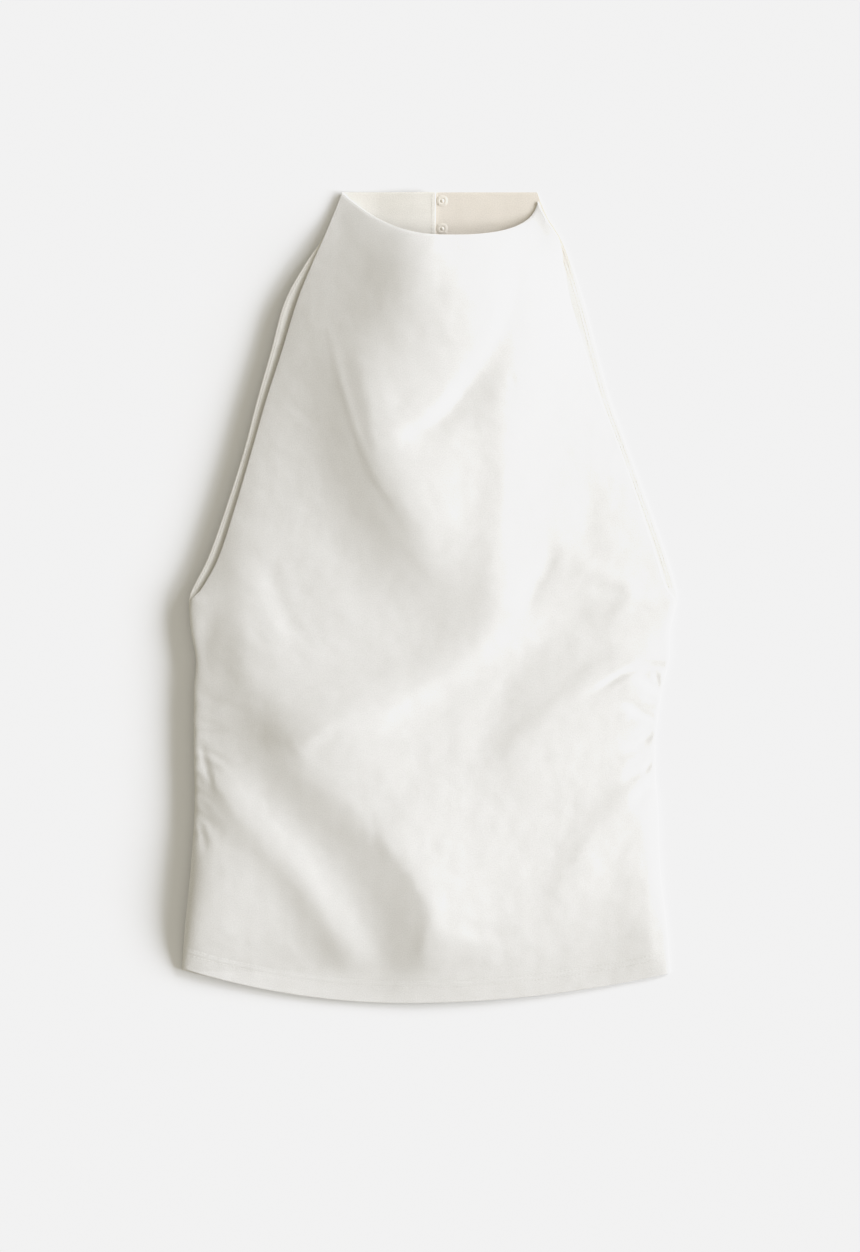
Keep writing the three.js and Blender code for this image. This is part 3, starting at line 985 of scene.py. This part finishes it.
@dataclass(frozen=True)
class FrontPanel:
    """The front: one draped piece from neck to hem, gathered along both side seams."""

    name: str = "front_cloth"
    columns: int = 196
    crowding: float = 0.07
    zones: tuple[tuple[float, int], ...] = ((0.033, 18), (0.19, 32), (0.476, 90), (1, 106))
    neck_pull: float = 8
    seam_top: float = 4
    seam_fade: float = 10
    seam_tuck: float = 0.6
    seam_share: float = 0.35
    tuck_reach: float = 2
    scallop: float = 0.8
    scallop_width: float = 5
    hem_raise: float = 0.12
    hem_fade: float = 3
    needle_press: float = 0.12
    needle_width: float = 1
    hem_ends: Pair = (-186, 181)
    hem_points: int = 180
    stitch_lift: float = 0.1
    flat_size: Pair = (0.40, 0.66)
    area: float = 0.2

    def plan(self) -> tuple[Array, Array]:
        """Returns the plan of the sheet: arrays of x and y by row and column."""
        u = column_shares(self.columns, self.crowding)[None, :]
        v = row_shares(self.zones)[:, None]
        hem_x, neck_x = (blend(*PATTERN.front_edges(y), u) for y in (PATTERN.hem_y, PATTERN.neck_y))
        neck_y = PATTERN.neckline(neck_x)
        y = blend(PATTERN.hemline(hem_x), neck_y, v)
        x = blend(*PATTERN.front_edges(y), u)
        under_neck = blend(*PATTERN.front_edges(neck_y), u)
        return x + (neck_x - under_neck) * v**self.neck_pull, y

    def scallops(self, x: Array, y: Array) -> Array:
        """Scallops both side seams, as the gathers draw them in.

        Args:
            x: Places across.
            y: Places along.

        Returns:
            How far the cloth moves across, in millimetres.
        """
        shift = np.zeros(np.shape(x))
        for gather in GATHERS:
            seam = PATTERN.front_edge(gather.side, y)
            near = np.exp(-(((x - seam) / self.scallop_width) ** 2))
            shift -= gather.side.value * self.scallop * near * gather.pinch(y)
        return shift

    def hem_relief(self, x: Array, y: Array) -> Array:
        """Raises the turned hem and presses its two rows of stitching in.

        Args:
            x: Places across.
            y: Places along.

        Returns:
            The hem's extra height.
        """
        above = y - PATTERN.hemline(x)
        band = self.hem_raise * (1 - ease((above - PATTERN.hem_depth) / self.hem_fade + 0.5))
        press = np.zeros(np.shape(x))
        for row in PATTERN.needle_rows():
            press += self.needle_press * np.exp(-(((above - row) / self.needle_width) ** 2))
        return band - press

    def surface(self, x: Array, y: Array) -> Array:
        """Adds the folds, creases and gathers to the front's form, which never dips into the back.

        Args:
            x: Places across.
            y: Places along.

        Returns:
            The height of the upper face there.
        """
        inside = DRAPE.inside(x, y)
        hold = 1 - np.exp(-inside / DRAPE.rim_hold)
        folds = FoldField(LARGE_FOLDS).height(x, y) * hold
        creases = FoldField(SMALL_CREASES).height(x, y) * hold
        gathers = FoldField(tuple(gather.fold() for gather in GATHERS) + SIDE_CREASES).height(x, y)
        below_arm = ease((self.seam_top - y) / self.seam_fade)
        tuck = self.seam_tuck * np.exp(-inside / self.tuck_reach) * below_arm
        gathered = gathers * blend(self.seam_share, 1, hold)
        form = np.maximum(DRAPE.front_form(x, y) + folds, DRAPE.front_rest(x, y))
        return form + creases + gathered + self.hem_relief(x, y) - tuck

    def hem_routes(self) -> list[Array]:
        """Returns the two rows of the twin needle, on the cloth's face."""
        x = np.linspace(*self.hem_ends, self.hem_points)
        routes = []
        for row in PATTERN.needle_rows():
            y = PATTERN.hemline(x) + row
            routes.append(np.stack([x, y, self.surface(x, y) + self.stitch_lift], axis=1))
        return routes

    def build(self, cloth: Material, thread: Material) -> None:
        x, y = self.plan()
        points = np.stack([x + self.scallops(x, y), y, self.surface(x, y)], axis=2)
        sheet = lay_sheet(self.name, points)
        dress(sheet, cloth, "jersey", "front_panel")
        stitches = StitchRow().sew("front_hem_stitches", self.hem_routes())
        dress(stitches, thread, "jersey")


@dataclass(frozen=True)
class BackHalf:
    """One half of the back, from the centre back line to a side edge."""

    side: Side
    name: str
    node: str
    stud_heights: tuple[float, ...]
    columns: int = 60
    crowding: float = 0.1
    zones: tuple[tuple[float, int], ...] = ((0.033, 12), (0.476, 70), (0.93, 60), (1, 24))
    wave_height: float = 0.5
    wave_start: float = 3
    wave_fade: float = 10
    hem_inset: float = 8
    hem_points: int = 90
    armhole_rows: tuple[float, ...] = (2.6, 5)
    armhole_ends: Pair = (6, 278)
    armhole_points: int = 120
    slit_inset: float = 2.5
    slit_ends: Pair = (2, 1)
    slit_points: int = 60
    stitch_lift: float = 0.08
    flat_size: Pair = (0.21, 0.66)
    area: float = 0.1

    def edges(self, y: Values) -> tuple[Array, Array]:
        """Returns the half's left and right edges at heights y."""
        if self.side is Side.LEFT:
            return PATTERN.back_edge(Side.LEFT, y), PATTERN.slit_x(y)
        return PATTERN.right_half_edge(y), PATTERN.back_edge(Side.RIGHT, y)

    def surface(self, x: Array, y: Array) -> Array:
        """Returns the height of the half's inner face, which lies up."""
        bottom = DRAPE.back_bottom(x, y)
        if self.side is Side.LEFT:
            bottom = bottom + DRAPE.overlap_lift(x, y, self.stud_heights)
        return bottom + self.side_waves(x, y) + DRAPE.cloth

    def side_waves(self, x: Array, y: Array) -> Array:
        """Sends the gathers' waves along the curled side, between its flat part and the seam.

        Args:
            x: Places across.
            y: Places along.

        Returns:
            The waves' height.
        """
        inside = np.abs(PATTERN.back_edge(self.side, y) - x)
        band = ease(inside / self.wave_start) * ease((DRAPE.curl_reach - inside) / self.wave_fade)
        waves = sum(gather.pinch(y) for gather in GATHERS if gather.side is self.side)
        return self.wave_height * band * waves

    def points(self) -> Array:
        """Returns the places of the upper face by row, column and axis."""
        u = column_shares(self.columns, self.crowding)[None, :]
        v = row_shares(self.zones)[:, None]
        left, right = self.edges(PATTERN.hem_y)
        y = blend(PATTERN.back_hemline(blend(left, right, u)), PATTERN.neck_y, v)
        left, right = self.edges(y)
        x = blend(left, right, u)
        return np.stack([x, y, self.surface(x, y)], axis=2)

    def routes(self) -> list[Array]:
        """Returns the rows of stitching: the hem's two, the armhole's two and the upper lap's one."""
        rows = []
        left, right = self.edges(PATTERN.hem_y)
        x = np.linspace(float(left) + self.hem_inset, float(right) - self.hem_inset, self.hem_points)
        for above in PATTERN.needle_rows():
            rows.append((x, PATTERN.back_hemline(x) + above))
        y = np.linspace(*self.armhole_ends, self.armhole_points)
        for inset in self.armhole_rows:
            rows.append((PATTERN.back_edge(self.side, y) - self.side.value * inset, y))
        if self.side is Side.LEFT:
            low, high = self.slit_ends
            y = np.linspace(PATTERN.slit_end() + low, PATTERN.neck_y - high, self.slit_points)
            rows.append((PATTERN.slit_x(y) - self.slit_inset, y))
        return [np.stack([x, y, self.surface(x, y) + self.stitch_lift], axis=1) for x, y in rows]

    def build(self, cloth: Material, thread: Material) -> None:
        sheet = lay_sheet(self.name, self.points())
        dress(sheet, cloth, "jersey", self.node)
        stitches = StitchRow().sew(self.name.replace("cloth", "stitches"), self.routes())
        dress(stitches, thread, "jersey")


@dataclass(frozen=True)
class PressStud:
    """One half of a sewn press stud, turned from its profile and sewn down at four places."""

    name: str
    node: str
    x: float
    y: float
    profile: tuple[Pair, ...]
    base: float = 0.65
    turns: int = 48
    weld: float = 0.01
    crisp_angle: float = 35
    loops: int = 4
    first_loop: float = 45
    sewn_at: float = 3.5
    sewn_above: float = 0.2
    loop_segments: tuple[int, int] = (16, 6)
    loop_radius: float = 0.75
    loop_flatness: float = 0.42
    thread_radius: float = 0.13

    def turn(self) -> Piece:
        """Spins the profile about the stud's axis.

        Returns:
            The closed moulding at its place.
        """
        mesh = bpy.data.meshes.new(self.name)
        points = [(radius * MM, 0, height * MM) for radius, height in self.profile]
        mesh.from_pydata(points, [(i, i + 1) for i in range(len(points) - 1)], [])
        stud = bpy.data.objects.new(self.name, mesh)
        bpy.context.collection.objects.link(stud)
        select(stud)
        bpy.ops.object.mode_set(mode="EDIT")
        bpy.ops.mesh.select_all(action="SELECT")
        bpy.ops.mesh.spin(steps=self.turns, angle=math.tau, center=(0, 0, 0), axis=(0, 0, 1))
        bpy.ops.mesh.select_all(action="SELECT")
        bpy.ops.mesh.remove_doubles(threshold=self.weld * MM)
        bpy.ops.mesh.normals_make_consistent(inside=False)
        bpy.ops.transform.translate(value=(self.x * MM, self.y * MM, self.base * MM))
        bpy.ops.object.mode_set(mode="OBJECT")
        bpy.ops.object.shade_smooth_by_angle(angle=math.radians(self.crisp_angle))
        return stud

    def loop(self, angle: float) -> Piece:
        """Models one flattened thread loop, upright and across the stud's rim.

        Args:
            angle: The loop's direction from the stud's axis, in radians.

        Returns:
            The loop at its place.
        """
        loop = added(
            bpy.ops.mesh.primitive_torus_add,
            major_segments=self.loop_segments[0],
            minor_segments=self.loop_segments[1],
            major_radius=self.loop_radius * MM,
            minor_radius=self.thread_radius * MM,
        )
        flat = np.array([vertex.co[:] for vertex in loop.data.vertices])
        out, side, up = flat[:, 0], flat[:, 2], flat[:, 1] * self.loop_flatness
        cos, sin = math.cos(angle), math.sin(angle)
        placed = np.stack([out * cos - side * sin, out * sin + side * cos, up], axis=1)
        place = (self.x + self.sewn_at * cos, self.y + self.sewn_at * sin, self.base + self.sewn_above)
        placed += np.array(place) * MM
        loop.data.vertices.foreach_set("co", placed.astype(np.float32).ravel())
        loop.data.update()
        return loop

    def sew(self) -> Piece:
        """Returns the thread loops that hold the stud's rim down, joined into one piece."""
        first = math.radians(self.first_loop)
        loops = [self.loop(first + k * math.tau / self.loops) for k in range(self.loops)]
        select(*loops)
        bpy.ops.object.join()
        thread = bpy.context.object
        thread.name = self.name + "_thread"
        bpy.ops.object.mode_set(mode="EDIT")
        bpy.ops.mesh.select_all(action="SELECT")
        bpy.ops.mesh.normals_make_consistent(inside=False)
        bpy.ops.object.mode_set(mode="OBJECT")
        bpy.ops.object.shade_smooth()
        return thread

    def build(self, plastic: Material, thread: Material) -> None:
        """Makes the stud half and its thread."""
        dress(self.turn(), plastic, "stud", self.node)
        dress(self.sew(), thread, "jersey")


SOCKET_PROFILE = (
    (0, 0.1), (4.25, 0.1), (4.5, 0.14), (4.35, 0.19), (3.9, 0.23), (3.4, 0.28), (3.0, 0.34), (2.65, 0.37),
    (2.3, 0.33), (2.0, 0.26), (1.7, 0.22), (1.4, 0.26), (1.1, 0.46), (0.7, 0.6), (0, 0.64),
)
BALL_PROFILE = (
    (0, 0.1), (4.25, 0.1), (4.5, 0.25), (4.4, 0.4), (3.6, 0.55), (1.7, 0.65), (1.3, 0.8), (1.1, 1.0),
    (0, 1.1),
)


@dataclass(frozen=True)
class Studio:
    """A plain pale floor, a low soft key from the right, an even fill and a camera overhead."""

    floor_size: float = 12
    pixel: float = 0.78
    frame_height: int = 1252
    centre: Pair = (0.39, -22.2)
    lens: float = 85
    sensor: float = 36
    garment_height: float = 8
    view_depth: float = 50
    key_elevation: float = 15
    key_azimuth: float = 11
    key_spread: float = 17
    key_fan: tuple[float, ...] = (-24, 0, 24)
    key_strength: float = 7.26
    key_colour: Colour = (0.8745, 0.905, 1)
    fill_strength: float = 0.485
    fill_colour: Colour = (1, 0.945, 0.8)
    shoulder: tuple[Pair, ...] = ((0.885, 0.885), (1, 0.905), (1.4, 0.925))

    def lay_floor(self) -> None:
        """Adds the floor and gives it the paper."""
        floor = added(bpy.ops.mesh.primitive_plane_add, size=self.floor_size)
        floor.name = "table_paper"
        floor.data.materials.append(StudioPaper().material())

    def light(self) -> None:
        """Adds the key as a fan of soft suns and sets the fill."""
        for turn in self.key_fan:
            key = added(bpy.ops.object.light_add, type="SUN")
            key.data.energy = self.key_strength / len(self.key_fan)
            key.data.angle = math.radians(self.key_spread)
            key.data.color = self.key_colour
            tilt = math.radians(90 - self.key_elevation)
            key.rotation_euler = (0, tilt, math.radians(self.key_azimuth + turn))
        world = bpy.data.worlds.new("even_fill")
        world.use_nodes = True
        background = world.node_tree.nodes["Background"]
        background.inputs["Color"].default_value = (*self.fill_colour, 1)
        background.inputs["Strength"].default_value = self.fill_strength
        bpy.context.scene.world = world
        self.soften_highlights(bpy.context.scene.view_settings)

    def soften_highlights(self, view: bpy.types.ColorManagedViewSettings) -> None:
        """Bends the brightest tones over, as a light exposure of white cloth does."""
        view.view_transform = "Standard"
        view.use_curve_mapping = True
        mapping = view.curve_mapping
        mapping.use_clip = False
        curve = mapping.curves[3]
        curve.points[-1].location = self.shoulder[-1]
        for place in self.shoulder[:-1]:
            curve.points.new(*place)
        for point in curve.points:
            point.handle_type = "VECTOR"
        mapping.update()

    def set_camera(self) -> None:
        """Hangs the camera straight above the middle of the frame."""
        height = self.frame_height * self.pixel * self.lens / self.sensor + self.garment_height
        place = (self.centre[0] * MM, self.centre[1] * MM, height * MM)
        camera = added(bpy.ops.object.camera_add, location=place)
        camera.name = "overhead_camera"
        camera.data.lens = self.lens
        camera.data.sensor_fit = "VERTICAL"
        camera.data.sensor_height = self.sensor
        camera.data.clip_end = self.view_depth
        bpy.context.scene.camera = camera

    def build(self) -> None:
        """Sets up the floor, the lights and the camera."""
        self.lay_floor()
        self.light()
        self.set_camera()


@dataclass(frozen=True)
class HalterTop:
    """The whole garment."""

    stud_x: float = 10
    stud_heights: tuple[tuple[str, float], ...] = (("upper", 310.4), ("lower", 288.6))

    def build(self) -> None:
        """Makes every panel, its stitching and the press studs."""
        cloth = Jersey().material()
        # Painted light and shade on the back's inner faces: the left is painted lighter inside the neck,
        # where it lies in shade, and painted darker down its armhole strip, in the front's shadow; the
        # right is painted a warm shade inside the neck and painted lighter down its armhole strip.
        inner_left_painted_shading = Jersey(
            "off_white_inner_face_left_painted_shading", tint=(1.11, 1.09, 1.045), armhole_painted_shading=(0.975, 0.965, 0.935)
        ).material()
        inner_right_painted_shading = Jersey(
            "off_white_inner_face_right_painted_shading", tint=(1.045, 0.985, 0.905), armhole_painted_shading=(1.1, 1.1, 1.09)
        ).material()
        thread = SewingThread().material()
        plastic = StudPlastic().material()
        heights = tuple(height for _, height in self.stud_heights)
        BackHalf(Side.RIGHT, "back_right_cloth", "back_right_panel", heights).build(inner_right_painted_shading, thread)
        BackHalf(Side.LEFT, "back_left_cloth", "back_left_panel", heights).build(inner_left_painted_shading, thread)
        FrontPanel().build(cloth, thread)
        for level, y in self.stud_heights:
            ball_x = float(PATTERN.slit_x(y)) - DRAPE.ball_inset
            halves = (("socket", self.stud_x, SOCKET_PROFILE), ("ball", ball_x, BALL_PROFILE))
            for half, x, profile in halves:
                stud = PressStud(f"{level}_stud_{half}", f"stud_{level}_{half}", x, y, profile)
                stud.build(plastic, thread)


def main() -> None:
    """Builds the studio and the garment."""
    logging.basicConfig(level=logging.INFO, format="%(name)s %(message)s")
    Studio().build()
    HalterTop().build()


if __name__ == "__main__":
    main()
